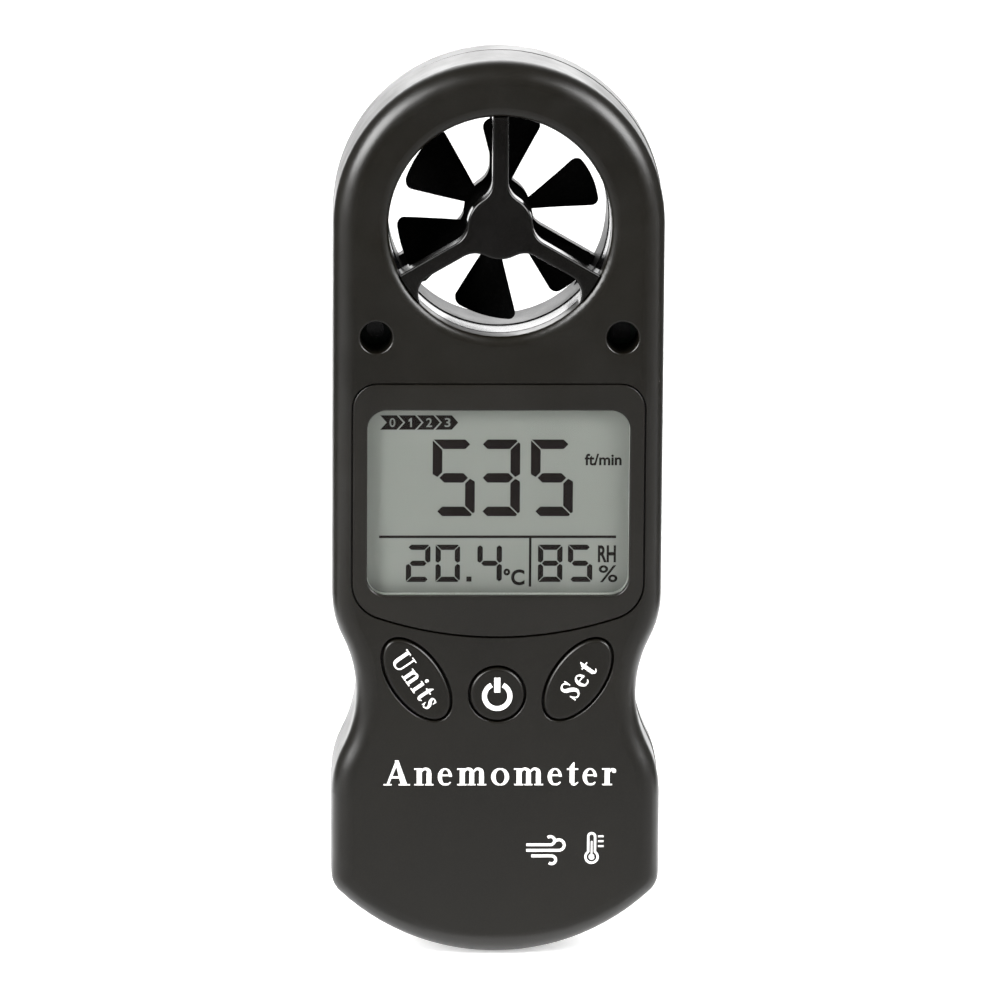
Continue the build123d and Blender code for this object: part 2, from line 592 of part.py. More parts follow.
def build():
    """Every node of the assembly, by name."""
    front_shoulder = LIP_DEPTH + 0.02
    rear_shoulder = BODY_THICKNESS - REAR_LIP_DEPTH - 0.05
    rear_face = BODY_THICKNESS - REAR_GUARD_SINK
    nodes = {
        "front_housing": front_housing(),
        "rear_housing": rear_housing(),
        "battery_door": battery_door(),
        "front_guard": guard(FRONT_DUCT_INNER, FRONT_NOSE, GUARD_SINK, front_shoulder, GUARD_SPLIT, 1),
        "rear_guard": guard(REAR_DUCT_INNER, REAR_NOSE, rear_face, rear_shoulder, GUARD_SPLIT + SPLIT_GAP, -1),
        "front_bearing": bearing(FRONT_SPOKE_DEPTH, 1),
        "rear_bearing": bearing(REAR_SPOKE_DEPTH, -1),
        "impeller": impeller(),
        "impeller_shaft": impeller_shaft(),
        "rotor_magnet": ring(0, VANE_Z, MAGNET_RADIUS, SHAFT_RADIUS, MAGNET_FRONT, IMPELLER_BACK - 0.2),
        "vane_sensor": block(0, VANE_Z - 21.0, 3.2, 3.6, 6.0, BOARD_DEPTH),
        "display_panel": display_panel(),
        "display_window": slab(window_outline(PANE_MARGIN), PANEL_DEPTH + 0.01, PANE_DEPTH),
        "lcd_glass": block(0, WINDOW_Z, *GLASS, GLASS_DEPTH, GLASS_BACK),
        "lcd_frame": lcd_frame(),
        "backlight_diffuser": block(0, WINDOW_Z, GLASS[0], GLASS[1] - 4.4, GLASS_BACK + 0.05, DIFFUSER_BACK),
        "contact_strips": contact_strips(),
        "backlight_led": block(0, WINDOW_Z, 3.0, 2.0, DIFFUSER_BACK + 0.05, BOARD_DEPTH),
        "main_board": main_board(),
        "processor_chip": block(0, 62.0, 9.0, 9.0, BOARD_BACK, BOARD_BACK + 1.2),
        "clock_crystal": disc(-11.0, 63.0, 1.4, BOARD_BACK, BOARD_BACK + 2.6),
        "board_components": board_components(),
        "tact_switches": tact_switches(),
        "temperature_sensor": disc(-PORT_X, PORT_Z, 1.3, PORT_TUBE_BACK + 0.1, BOARD_DEPTH),
        "humidity_sensor": block(PORT_X, PORT_Z, 2.8, 2.8, PORT_TUBE_BACK + 0.1, BOARD_DEPTH),
        "coin_cell": coin_cell(),
        "negative_contact": negative_contact(),
        "positive_contact": positive_contact(),
        "housing_screws": housing_screws(),
    }
    for name in KEYS:
        nodes[f"{name}_button"] = key(name)
        nodes[f"{name}_plunger"] = plunger(name)
    return nodes


os.makedirs("parts", exist_ok=True)
for node_name, node_shape in build().items():
    export_step(node_shape, f"parts/{node_name}.step")
    print(node_name, round(node_shape.volume, 1))
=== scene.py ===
import math

import bpy
from mathutils import Matrix, Vector


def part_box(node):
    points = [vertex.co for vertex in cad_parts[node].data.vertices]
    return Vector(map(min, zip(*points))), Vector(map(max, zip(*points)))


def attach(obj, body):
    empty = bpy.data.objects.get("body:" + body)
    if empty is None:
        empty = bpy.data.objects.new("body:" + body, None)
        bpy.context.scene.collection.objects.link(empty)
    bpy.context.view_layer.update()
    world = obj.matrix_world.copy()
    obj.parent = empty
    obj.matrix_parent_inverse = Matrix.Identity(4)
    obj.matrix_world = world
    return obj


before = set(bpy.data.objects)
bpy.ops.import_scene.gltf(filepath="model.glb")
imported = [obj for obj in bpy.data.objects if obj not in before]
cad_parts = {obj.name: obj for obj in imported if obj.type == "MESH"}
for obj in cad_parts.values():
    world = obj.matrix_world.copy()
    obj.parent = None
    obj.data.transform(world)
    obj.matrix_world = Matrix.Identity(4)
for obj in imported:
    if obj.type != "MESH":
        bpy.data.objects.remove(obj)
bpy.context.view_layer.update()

# ---- shared dimensions, in metres ----------------------------------------------------------------------
MM = 0.001
FRONT_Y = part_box("front_housing")[0].y

# ---- camera --------------------------------------------------------------------------------------------
DISTANCE = 1.395
ELEVATION = math.radians(12.3)
AZIMUTH = math.radians(-1.9)
ROLL = math.radians(0.40)
TARGET = Vector((0.22 * MM, FRONT_Y, 68.9 * MM))
LENS = 343.15
SENSOR = 36
NEAREST, FARTHEST = 0.01, 60


def make_camera():
    """Stands DISTANCE from TARGET, turned by AZIMUTH, raised by ELEVATION and tilted by ROLL."""
    cam = bpy.data.objects.new("camera", bpy.data.cameras.new("camera"))
    bpy.context.scene.collection.objects.link(cam)
    level = math.cos(ELEVATION)
    away = Vector((math.sin(AZIMUTH) * level, -math.cos(AZIMUTH) * level, math.sin(ELEVATION)))
    right = (-away).cross(Vector((0, 0, 1))).normalized()
    up = right.cross(-away).normalized()
    tilted_right = right * math.cos(ROLL) + up * math.sin(ROLL)
    tilted_up = up * math.cos(ROLL) - right * math.sin(ROLL)
    spot = TARGET + away * DISTANCE
    cam.matrix_world = Matrix((
        (tilted_right.x, tilted_up.x, away.x, spot.x),
        (tilted_right.y, tilted_up.y, away.y, spot.y),
        (tilted_right.z, tilted_up.z, away.z, spot.z),
        (0, 0, 0, 1)))
    cam.data.sensor_width = SENSOR
    cam.data.lens = LENS
    cam.data.clip_start = NEAREST
    cam.data.clip_end = FARTHEST
    bpy.context.scene.camera = cam


make_camera()


# ---- node helpers --------------------------------------------------------------------------------------
class Nodes:
    """A small wrapper that makes a material's node tree readable."""

    def __init__(self, name):
        self.mat = bpy.data.materials.new(name)
        self.mat.use_nodes = True
        self.tree = self.mat.node_tree
        self.tree.nodes.clear()
        self.out = self.tree.nodes.new("ShaderNodeOutputMaterial")
        self.coord = self.add("ShaderNodeTexCoord").outputs["Object"]

    def add(self, kind, **inputs):
        node = self.tree.nodes.new(kind)
        for key, value in inputs.items():
            self.set(node.inputs[key.replace("_", " ")], value)
        return node

    def set(self, socket, value):
        if isinstance(value, bpy.types.NodeSocket):
            self.tree.links.new(value, socket)
        else:
            socket.default_value = value

    def noise(self, scale, detail=2.0, rough=0.5, vector=None):
        return self.add("ShaderNodeTexNoise", Scale=scale, Detail=detail, Roughness=rough,
                        Vector=vector or self.coord).outputs["Fac"]

    def ramp(self, value, low, high, out_low=0.0, out_high=1.0):
        return self.add("ShaderNodeMapRange", Value=value, From_Min=low, From_Max=high,
                        To_Min=out_low, To_Max=out_high).outputs["Result"]

    def mix(self, factor, a, b):
        node = self.tree.nodes.new("ShaderNodeMix")
        node.data_type = "RGBA"
        for index, value in ((0, factor), (6, a), (7, b)):  # the colour mix's own sockets
            self.set(node.inputs[index], value)
        return node.outputs[2]

    def math(self, op, a, b=0.0):
        node = self.tree.nodes.new("ShaderNodeMath")
        node.operation = op
        self.set(node.inputs[0], a)
        self.set(node.inputs[1], b)
        return node.outputs[0]

    def bump(self, height, strength, distance):
        node = self.add("ShaderNodeBump", Height=height, Strength=strength, Distance=distance)
        return node.outputs["Normal"]

    def principled(self, **inputs):
        shader = self.add("ShaderNodeBsdfPrincipled", **inputs)
        self.tree.links.new(shader.outputs["BSDF"], self.out.inputs["Surface"])
        return self.mat


# ---- materials -----------------------------------------------------------------------------------------
DUST_TONE = (0.30, 0.28, 0.26, 1)
DUST_CELLS = 380.0  # cells in a metre
DUST_RARITY = 0.80  # a cell holds a speck where its random value is above this
LCD_DARK = (0.267, 0.270, 0.256, 1)
LCD_LIGHT = (0.283, 0.287, 0.273, 1)
LCD_GRAIN = (0.236, 0.238, 0.224, 1)
PANE_TINT = (0.97, 0.98, 0.97, 1)
PANE_INDEX = 1.2  # low, so that the display isn't darkened by the pane


def shade(colour, gain=1.0, lift=0.0):
    """The colour with its alpha, made lighter or darker."""
    return tuple(min(1, c * gain + lift) for c in colour) + (1,)


def moulded(name, colour, rough, grain=0.25, grain_depth=0.02, specular=0.5, patchy=0.15, dust=0.0):
    """Moulded plastic: a fine spark-eroded grain, slight changes of tone, handling marks and specks of
    dust. The size and depth of the grain are in millimetres."""
    n = Nodes(name)
    fine = n.noise(1 / (grain * MM), 3.0, 0.6)
    broad = n.noise(55.0, 3.0, 0.55)
    smear = n.noise(170.0, 4.0, 0.6)
    tone = n.mix(n.ramp(broad, 0.35, 0.65), shade(colour, 1 - patchy), shade(colour, 1 + patchy))
    worn = n.mix(n.ramp(fine, 0.45, 0.75, 0.0, 0.5), tone, shade(colour, 1.5, 0.004))
    if dust:
        cells = n.add("ShaderNodeTexVoronoi", Scale=DUST_CELLS, Vector=n.coord)
        speck = n.math("MULTIPLY", n.ramp(cells.outputs["Distance"], 0.02, 0.05, 1.0, 0.0),
                       n.math("GREATER_THAN", cells.outputs["Color"], DUST_RARITY))
        worn = n.mix(n.math("MULTIPLY", speck, dust), worn, DUST_TONE)
    roughness = n.ramp(smear, 0.3, 0.7, rough - 0.04, rough + 0.05)
    normal = n.bump(fine, 0.9, grain_depth * MM)
    return n.principled(Base_Color=worn, Roughness=roughness, Normal=normal, Specular_IOR_Level=specular)


def metal(name, colour, rough, brushed=(1, 1, 1)):
    """Bare metal with fine lines, which brushed stretches."""
    n = Nodes(name)
    stretch = n.add("ShaderNodeMapping", Vector=n.coord, Scale=brushed).outputs["Vector"]
    lines = n.noise(2500.0, 2.0, 0.6, stretch)
    tone = n.mix(n.ramp(lines, 0.3, 0.7), shade(colour, 0.86), shade(colour))
    roughness = n.ramp(lines, 0.3, 0.7, rough * 0.8, rough * 1.3)
    normal = n.bump(lines, 0.4, 0.004 * MM)
    return n.principled(Base_Color=tone, Metallic=1.0, Roughness=roughness, Normal=normal)


def printed(name, colour):
    """Screen-printed ink: slightly uneven cover."""
    n = Nodes(name)
    grain = n.noise(6000.0, 2.0, 0.6)
    tone = n.mix(n.ramp(grain, 0.35, 0.6), shade(colour, 0.86), shade(colour))
    return n.principled(Base_Color=tone, Roughness=0.55, Normal=n.bump(grain, 0.5, 0.006 * MM))


def lcd_ground():
    """The grey-green reflector behind the display's segments, faintly cloudy and grainy."""
    n = Nodes("lcd_ground")
    cloud = n.noise(25.0, 2.0, 0.5)
    grain = n.noise(9000.0, 2.0, 0.7)
    tone = n.mix(n.ramp(cloud, 0.3, 0.7), LCD_DARK, LCD_LIGHT)
    tone = n.mix(n.ramp(grain, 0.35, 0.65, 0.0, 0.25), tone, LCD_GRAIN)
    return n.principled(Base_Color=tone, Roughness=0.5, Specular_IOR_Level=0.3)


def clear_pane():
    """Clear plastic that lets light straight through and reflects a little of it."""
    n = Nodes("clear_pane")
    clear = n.add("ShaderNodeBsdfTransparent", Color=PANE_TINT)
    gloss = n.add("ShaderNodeBsdfGlossy", Color=(1, 1, 1, 1), Roughness=0.03)
    fresnel = n.add("ShaderNodeFresnel", IOR=PANE_INDEX)
    mixed = n.add("ShaderNodeMixShader")
    n.tree.links.new(fresnel.outputs[0], mixed.inputs[0])
    n.tree.links.new(clear.outputs[0], mixed.inputs[1])
    n.tree.links.new(gloss.outputs[0], mixed.inputs[2])
    n.tree.links.new(mixed.outputs[0], n.out.inputs["Surface"])
    return n.mat


SHELL_TONE = (0.0036, 0.0028, 0.0013)
PANEL_TONE = (0.0060, 0.0051, 0.0036)
KEY_TONE = (0.0036, 0.0029, 0.0016)
GUARD_TONE = (0.0018, 0.0016, 0.0013)
VANE_TONE = (0.0014, 0.0014, 0.0014)
HOUSING = moulded("housing_plastic", SHELL_TONE, 0.34, grain=0.22, grain_depth=0.007, dust=0.35)
GUARD = moulded("guard_plastic", GUARD_TONE, 0.21, grain=0.3, grain_depth=0.003, specular=0.45)
REAR_GUARD = moulded("rear_guard_plastic", GUARD_TONE, 0.42, grain=0.3, grain_depth=0.03, specular=0.25)
VANE_PLASTIC = moulded("vane_plastic", VANE_TONE, 0.45, grain=0.4, grain_depth=0.006, specular=0.0)
PANEL = moulded("panel_plastic", PANEL_TONE, 0.32, grain=0.25, grain_depth=0.005, dust=0.35)
RUBBER = moulded("key_rubber", KEY_TONE, 0.34, grain=0.3, grain_depth=0.006, specular=0.4, dust=0.3)
BEARING = moulded("bearing_plastic", (0.30, 0.27, 0.2), 0.4)
WHITE_PLASTIC = moulded("white_plastic", (0.72, 0.72, 0.69), 0.45)
GREEN_BOARD = moulded("board_laminate", (0.005, 0.030, 0.012), 0.35)
EPOXY = moulded("chip_epoxy", (0.012, 0.012, 0.012), 0.55)
CONTACT_RUBBER = moulded("contact_rubber", (0.05, 0.05, 0.055), 0.6)
BEAD = moulded("bead_resin", (0.004, 0.004, 0.005), 0.22)
FERRITE = moulded("ferrite", (0.05, 0.05, 0.052), 0.5)
STEEL = metal("screw_steel", (0.46, 0.45, 0.43), 0.32)
BRIGHT = metal("bright_steel", (0.66, 0.66, 0.64), 0.2, (1, 1, 12))
LCD = lcd_ground()
PANE = clear_pane()
SEGMENT = moulded("lcd_segment", (0.012, 0.008, 0.008), 0.6, specular=0.05)
POINTER_DIGIT = moulded("pointer_digit", (0.20, 0.205, 0.195), 0.6)
INK = printed("white_ink", (0.86, 0.85, 0.83))

LOOKS = {
    HOUSING: ("front_housing", "rear_housing", "battery_door"),
    GUARD: ("front_guard",),
    REAR_GUARD: ("rear_guard",),
    VANE_PLASTIC: ("impeller",),
    PANEL: ("display_panel",),
    RUBBER: ("units_button", "power_button", "set_button"),
    BEARING: ("front_bearing", "rear_bearing"),
    WHITE_PLASTIC: ("lcd_frame", "backlight_diffuser", "backlight_led",
                    "units_plunger", "power_plunger", "set_plunger"),
    GREEN_BOARD: ("main_board",),
    EPOXY: ("processor_chip", "board_components", "tact_switches", "vane_sensor", "humidity_sensor"),
    CONTACT_RUBBER: ("contact_strips",),
    BEAD: ("temperature_sensor",),
    FERRITE: ("rotor_magnet",),
    STEEL: ("impeller_shaft", "housing_screws", "negative_contact", "positive_contact"),
    BRIGHT: ("clock_crystal", "coin_cell"),
    LCD: ("lcd_glass",),
    PANE: ("display_window",),
}
for look, names in LOOKS.items():
    for name in names:
        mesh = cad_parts[name].data
        mesh.materials.clear()
        mesh.materials.append(look)

# ---- drawing flat shapes -------------------------------------------------------------------------------
INK_HEIGHT = 0.02 * MM
INK_ROOT = 0.004 * MM  # how far a shape goes into its surface
INK_STEP = 0.0002 * MM  # by which a shape is taller than the one before
INK_STEPS = 97


class Print:
    """Flat shapes drawn in millimetres of X and Z, raised a little from a surface that faces the reader."""

    def __init__(self, name, surface_y, look, body="case", slot="white_plastic"):
        self.name, self.look, self.body, self.slot = name, look, body, slot
        self.surface = surface_y
        self.verts, self.faces = [], []

    def polygon(self, points):
        """A prism over a closed outline; each one is a hair taller than the last, so that none coincide."""
        n, first = len(points), len(self.verts)
        top = self.surface - INK_HEIGHT - INK_STEP * (len(self.faces) % INK_STEPS)
        area = sum(a[0] * b[1] - b[0] * a[1] for a, b in zip(points, points[1:] + points[:1]))
        if area < 0:
            points = points[::-1]
        for level in (top, self.surface + INK_ROOT):
            self.verts += [(x * MM, level, z * MM) for x, z in points]
        self.faces.append([first + i for i in range(n)])
        self.faces.append([first + n + i for i in reversed(range(n))])
        for i in range(n):
            j = (i + 1) % n
            self.faces.append([first + j, first + i, first + n + i, first + n + j])

    def stroke(self, points, steps=7):
        """A pen stroke of changing width through points (x, z, width), smoothed between them."""
        ends = [points[0]] + list(points) + [points[-1]]
        fine = []
        for four in zip(ends, ends[1:], ends[2:], ends[3:]):
            for k in range(steps):
                fine.append(tuple(between(*values, k / steps) for values in zip(*four)))
        fine.append(points[-1])
        left, right = [], []
        for i, (x, z, w) in enumerate(fine):
            ahead, behind = fine[min(i + 1, len(fine) - 1)], fine[max(i - 1, 0)]
            dx, dz = ahead[0] - behind[0], ahead[1] - behind[1]
            length = math.hypot(dx, dz) or 1.0
            left.append((x - dz / length * w / 2, z + dx / length * w / 2))
            right.append((x + dz / length * w / 2, z - dx / length * w / 2))
        self.polygon(left + right[::-1])

    def build(self):
        mesh = bpy.data.meshes.new(self.name)
        mesh.from_pydata(self.verts, [], self.faces)
        mesh.materials.append(self.look)
        obj = bpy.data.objects.new(self.name, mesh)
        bpy.context.scene.collection.objects.link(obj)
        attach(obj, self.body)


def between(p, q, r, s, t):
    """A smooth value from q to r, with its neighbours p and s, at t from 0 to 1."""
    return 0.5 * (2 * q + (r - p) * t + (2 * p - 5 * q + 4 * r - s) * t**2 + (3 * q - p - 3 * r + s) * t**3)


def arc(x, z, rx, rz, start, stop, width, steps=10):
    """Points of an elliptical pen stroke; width may be a function of the angle."""
    points = []
    for k in range(steps + 1):
        a = math.radians(start + (stop - start) * k / steps)
        points.append((x + rx * math.cos(a), z + rz * math.sin(a), width(a) if callable(width) else width))
    return points


def bar(x0, x1, z0, z1):
    return [(x0, z0), (x1, z0), (x1, z1), (x0, z1)]


def swelling(thin, thick):
    """Pen width of an upright oval: thick at the sides, thin at top and bottom."""
    return lambda a: thin + (thick - thin) * abs(math.cos(a)) ** 1.3


# ---- letters -------------------------------------------------------------------------------------------
SERIF = 0.055  # thickness of a serif
SMALL = 0.68  # height of the small letters
PEN = 0.9  # weight of the pen strokes


def foot(x0, x1):
    """A serif on the base line."""
    return bar(x0, x1, 0, SERIF)


STEM = [bar(0.12, 0.31, 0, SMALL), bar(0.02, 0.2, SMALL - SERIF, SMALL)]
ROUND_O = (0.37, 0.34, 0.255, 0.315)
# Bold serif letters in units of the cap height: advance, polygons, strokes.
LETTERS = {
    "A": (1.0,
          [[(0.10, 0), (0.19, 0), (0.50, 0.80), (0.46, 1.0)],
           [(0.42, 1.0), (0.56, 1.0), (0.90, 0), (0.66, 0)],
           bar(0.26, 0.70, 0.28, 0.36), foot(0.0, 0.31), foot(0.57, 1.0)],
          []),
    "U": (0.96,
          [bar(0.12, 0.32, 0.3, 1.0), bar(0.72, 0.81, 0.3, 1.0), bar(0.0, 0.43, 1 - SERIF, 1.0),
           bar(0.59, 0.95, 1 - SERIF, 1.0)],
          [[(0.22, 0.36, 0.2), (0.25, 0.15, 0.18), (0.36, 0.045, 0.12), (0.50, 0.02, 0.09),
            (0.66, 0.07, 0.085), (0.75, 0.19, 0.085), (0.765, 0.36, 0.09)]]),
    "S": (0.62,
          [bar(0.50, 0.555, 0.66, 1.0), bar(0.06, 0.115, 0.0, 0.34)],
          [[(0.52, 0.72, 0.05), (0.42, 0.93, 0.085), (0.27, 0.965, 0.08), (0.14, 0.86, 0.14),
            (0.17, 0.68, 0.2), (0.33, 0.53, 0.22), (0.47, 0.36, 0.21), (0.50, 0.18, 0.15),
            (0.37, 0.04, 0.085), (0.22, 0.05, 0.08), (0.09, 0.27, 0.05)]]),
    "n": (0.76,
          STEM + [foot(0.03, 0.38), bar(0.49, 0.67, 0, 0.5), foot(0.43, 0.75)],
          [[(0.27, 0.53, 0.07), (0.37, 0.64, 0.1), (0.48, 0.655, 0.12), (0.57, 0.58, 0.17),
            (0.58, 0.46, 0.18)]]),
    "m": (1.14,
          STEM + [foot(0.03, 0.38), bar(0.48, 0.66, 0, 0.5), foot(0.42, 0.72), bar(0.85, 1.03, 0, 0.5),
                  foot(0.79, 1.12)],
          [[(0.27, 0.53, 0.07), (0.36, 0.64, 0.1), (0.46, 0.655, 0.12), (0.56, 0.58, 0.17),
            (0.57, 0.46, 0.18)],
           [(0.63, 0.53, 0.07), (0.73, 0.64, 0.1), (0.83, 0.655, 0.12), (0.93, 0.58, 0.17),
            (0.94, 0.46, 0.18)]]),
    "o": (0.74,
          [],
          [arc(*ROUND_O, 88, 272, swelling(0.06, 0.19)), arc(*ROUND_O, -92, 92, swelling(0.06, 0.19))]),
    "e": (0.60,
          [bar(0.16, 0.52, 0.37, 0.43)],
          [arc(0.30, 0.34, 0.20, 0.315, 0, 88, swelling(0.06, 0.13))
           + arc(0.31, 0.34, 0.21, 0.315, 100, 250, swelling(0.06, 0.18))
           + [(0.40, 0.045, 0.09), (0.50, 0.13, 0.05)]]),
    "t": (0.46,
          [[(0.12, 0.1), (0.30, 0.1), (0.30, 0.92), (0.26, 0.92), (0.12, 0.74)],
           bar(0.02, 0.44, SMALL - SERIF * 1.2, SMALL)],
          [[(0.21, 0.2, 0.18), (0.235, 0.07, 0.14), (0.32, 0.035, 0.09), (0.44, 0.12, 0.04)]]),
    "r": (0.56,
          STEM + [foot(0.03, 0.40)],
          [[(0.27, 0.50, 0.07), (0.35, 0.62, 0.09), (0.44, 0.64, 0.10), (0.47, 0.60, 0.14)],
           arc(0.47, 0.575, 0.045, 0.045, 0, 360, 0.09)]),
    "i": (0.40,
          [bar(0.11, 0.30, 0, SMALL), bar(0.02, 0.2, SMALL - SERIF, SMALL), foot(0.02, 0.38)],
          [arc(0.205, 0.88, 0.05, 0.05, 0, 360, 0.1)]),
    "s": (0.50,
          [bar(0.39, 0.43, 0.46, SMALL), bar(0.05, 0.09, 0.0, 0.23)],
          [[(0.41, 0.49, 0.04), (0.34, 0.63, 0.06), (0.23, 0.655, 0.06), (0.13, 0.57, 0.12),
            (0.20, 0.42, 0.17), (0.34, 0.29, 0.17), (0.39, 0.14, 0.13), (0.29, 0.03, 0.065),
            (0.18, 0.03, 0.06), (0.07, 0.19, 0.04)]]),
}


def lettering(sheet, words, centre, height, width, space=0.12, turn=0.0):
    """Draws words in LETTERS so that their middle is at centre, fitted to the width."""
    total = sum(LETTERS[c][0] + space for c in words) - space
    across = width / total
    cosine, sine = math.cos(math.radians(turn)), math.sin(math.radians(turn))

    def place(x, z):
        u, v = (x - total / 2) * across, (z - 0.5) * height
        return (centre[0] + u * cosine - v * sine, centre[1] + u * sine + v * cosine)

    cursor = 0.0
    for c in words:
        advance, polygons, strokes = LETTERS[c]
        for points in polygons:
            sheet.polygon([place(cursor + x, z) for x, z in points])
        for points in strokes:
            sheet.stroke([(*place(cursor + x, z), w * height * PEN) for x, z, w in points])
        cursor += advance + space


# ---- symbols -------------------------------------------------------------------------------------------
RING, RING_WEIGHT = 1.87, 0.72  # of the power symbol
WIND_WEIGHT = 0.42
WIND_LINES = (  # start and end in X, height, radius of the curl and the side it turns to
    (-2.85, 0.7, 0.75, 0.62, 1),
    (-2.85, 1.95, -0.1, 0.8, 1),
    (-2.1, 0.9, -0.95, 0.6, -1),
)
GLASS_WEIGHT = 0.34  # of the thermometer's outline
GLASS, BULB, DROP = 0.5, 0.9, 0.22  # radii of its tube, its bulb and the liquid in the bulb
MARKS = (0.2, 0.95, 1.7)


def power_symbol(sheet, x, z):
    sheet.stroke(arc(x, z, RING, RING, 117, 423, RING_WEIGHT, 24), 3)
    sheet.polygon(bar(x - 0.45, x + 0.45, z + 0.55, z + 2.78))


def wind_icon(sheet, x, z):
    """Lines of wind, the ends curled."""
    for start, end, level, curl, up in WIND_LINES:
        line = [(x + start + (end - start) * k / 4, z + level, WIND_WEIGHT) for k in range(5)]
        hook = arc(x + end, z + level + up * curl, curl, curl, -90 * up, 130 * up, WIND_WEIGHT)
        sheet.stroke(line + hook[1:], 4)


def thermometer_icon(sheet, x, z):
    """A bulb and a tube in outline, the liquid, and three marks beside the tube."""
    middle, low, high = x - 0.4, z - 1.3, z + 1.8
    left, right = middle - GLASS, middle + GLASS
    sheet.stroke(arc(middle, low, BULB, BULB, 125, 415, GLASS_WEIGHT, 16), 4)
    sheet.stroke([(left, z - 0.6, GLASS_WEIGHT), (left, z + 0.7, GLASS_WEIGHT), (left, high, GLASS_WEIGHT)]
                 + arc(middle, high, GLASS, GLASS, 180, 0, GLASS_WEIGHT)
                 + [(right, z + 0.7, GLASS_WEIGHT), (right, z - 0.6, GLASS_WEIGHT)], 4)
    sheet.stroke(arc(middle, low, DROP, DROP, 0, 360, 2 * DROP))
    sheet.polygon(bar(middle - 0.12, middle + 0.12, z - 1.1, z + 1.1))
    for rise in MARKS:
        sheet.polygon(bar(x + 0.55, x + 1.35, z + rise, z + rise + 0.26))


# ---- digits of the display -----------------------------------------------------------------------------
SEGMENTS = {"0": "abcdef", "2": "abged", "3": "abgcd", "4": "fgbc", "5": "afgcd", "8": "abcdefg"}
FLAT_BARS = (("a", "f", "b", False), ("d", "e", "c", True))  # name, left and right neighbour, low
UPRIGHTS = (("f", -1, "a", False), ("b", 1, "a", False), ("e", -1, "d", True), ("c", 1, "d", True))


def digit(sheet, value, x, z, w, h, t, gap):
    """A seven-segment digit, its lower left corner at x, z. Lit neighbours meet at a corner in a slanted
    slit; the ends of a bar without a lit neighbour are pointed."""
    lit, m, u = SEGMENTS[value], h / 2, t / 2

    def bar_end(side, upright):
        """The end of the top bar, from its outer to its inner edge, as distances inwards and down."""
        if upright in lit:
            cut = t * (0.4 if side > 0 else 0.08)
            return [(cut, 0), (cut / 2 + gap, cut / 2), (t + gap, t)]
        return [(t, 0), (u, u), (t, t)]

    def upright_end(side, across):
        """The same for the end of an upright bar."""
        if across in lit:
            cut = t * (0.4 if side > 0 else 0.08)
            return [(0, cut + gap / 2), (cut / 2, cut / 2 + gap), (t, t + gap)]
        return [(0, u), (u, gap), (t, u)]

    def corner(points, side, low):
        return [(w - a if side > 0 else a, b if low else h - b) for a, b in points]

    for name, left, right, low in FLAT_BARS:
        if name in lit:
            outline = corner(bar_end(-1, left), -1, low) + corner(bar_end(1, right), 1, low)[::-1]
            sheet.polygon([(x + p, z + q) for p, q in outline])
    for name, side, across, low in UPRIGHTS:
        if name in lit:
            near = [(0, m - gap - u * 0.6), (u, m - gap), (t, m - gap - u)]
            outline = corner(upright_end(side, across) + near[::-1], side, low)
            sheet.polygon([(x + p, z + q) for p, q in outline])
    if "g" in lit:
        ends = [u * 1.4 if set(pair) & set(lit) else u for pair in ("fe", "bc")]
        outline = [(ends[0], m), (ends[0] + u, m + u), (w - ends[1] - u, m + u), (w - ends[1], m),
                   (w - ends[1] - u, m - u), (ends[0] + u, m - u)]
        sheet.polygon([(x + p, z + q) for p, q in outline])


TEXT_EXTRUDE = 0.004  # in the lettering's own units
TEXT_DEPTH = 0.003  # and what one of them measures in depth


def small_text(name, words, box, surface_y, look, thick):
    """Plain lettering fitted to a box on the display, its strokes made heavier by thick."""
    x0, x1, z0, z1 = box
    curve = bpy.data.curves.new(name, "FONT")
    curve.body = words
    curve.extrude = TEXT_EXTRUDE
    curve.offset = thick
    curve.materials.append(look)
    obj = bpy.data.objects.new(name, curve)
    bpy.context.scene.collection.objects.link(obj)
    bpy.context.view_layer.update()
    low, high = Vector(obj.bound_box[0]), Vector(obj.bound_box[6])
    wide, tall = (x1 - x0) * MM / (high.x - low.x), (z1 - z0) * MM / (high.y - low.y)
    place = Matrix.Translation((x0 * MM - low.x * wide, surface_y, z0 * MM - low.y * tall))
    upright = Matrix.Rotation(math.radians(90), 4, "X")
    obj.matrix_world = place @ upright @ Matrix.Diagonal((wide, tall, TEXT_DEPTH, 1))
    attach(obj, "case")


# ---- prints on the front and the keys, in millimetres of X and Z ---------------------------------------
TITLE = dict(centre=(0.5, 27.78), height=3.78, width=34.3, space=0.13)
WIND_AT = (7.3, 16.1)
THERMOMETER_AT = (14.5, 16.3)
KEY_LETTER = 3.0  # cap height of the words on the keys
KEY_TURN = 55
UNITS_WIDTH, SET_WIDTH = 9.3, 5.9
POWER_DROP = 0.25  # by which the power symbol is under the middle of its key


def middle_of(node):
    """The middle of a node's box in X and Z, to a hundredth of a millimetre."""
    low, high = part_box(node)
    return round((low.x + high.x) / 2 / MM, 2), round((low.z + high.z) / 2 / MM, 2)


def front_prints():
    title = Print("title_print", FRONT_Y, INK)
    lettering(title, "Anemometer", **TITLE)
    title.build()
    icons = Print("icon_print", FRONT_Y, INK)
    wind_icon(icons, *WIND_AT)
    thermometer_icon(icons, *THERMOMETER_AT)
    icons.build()


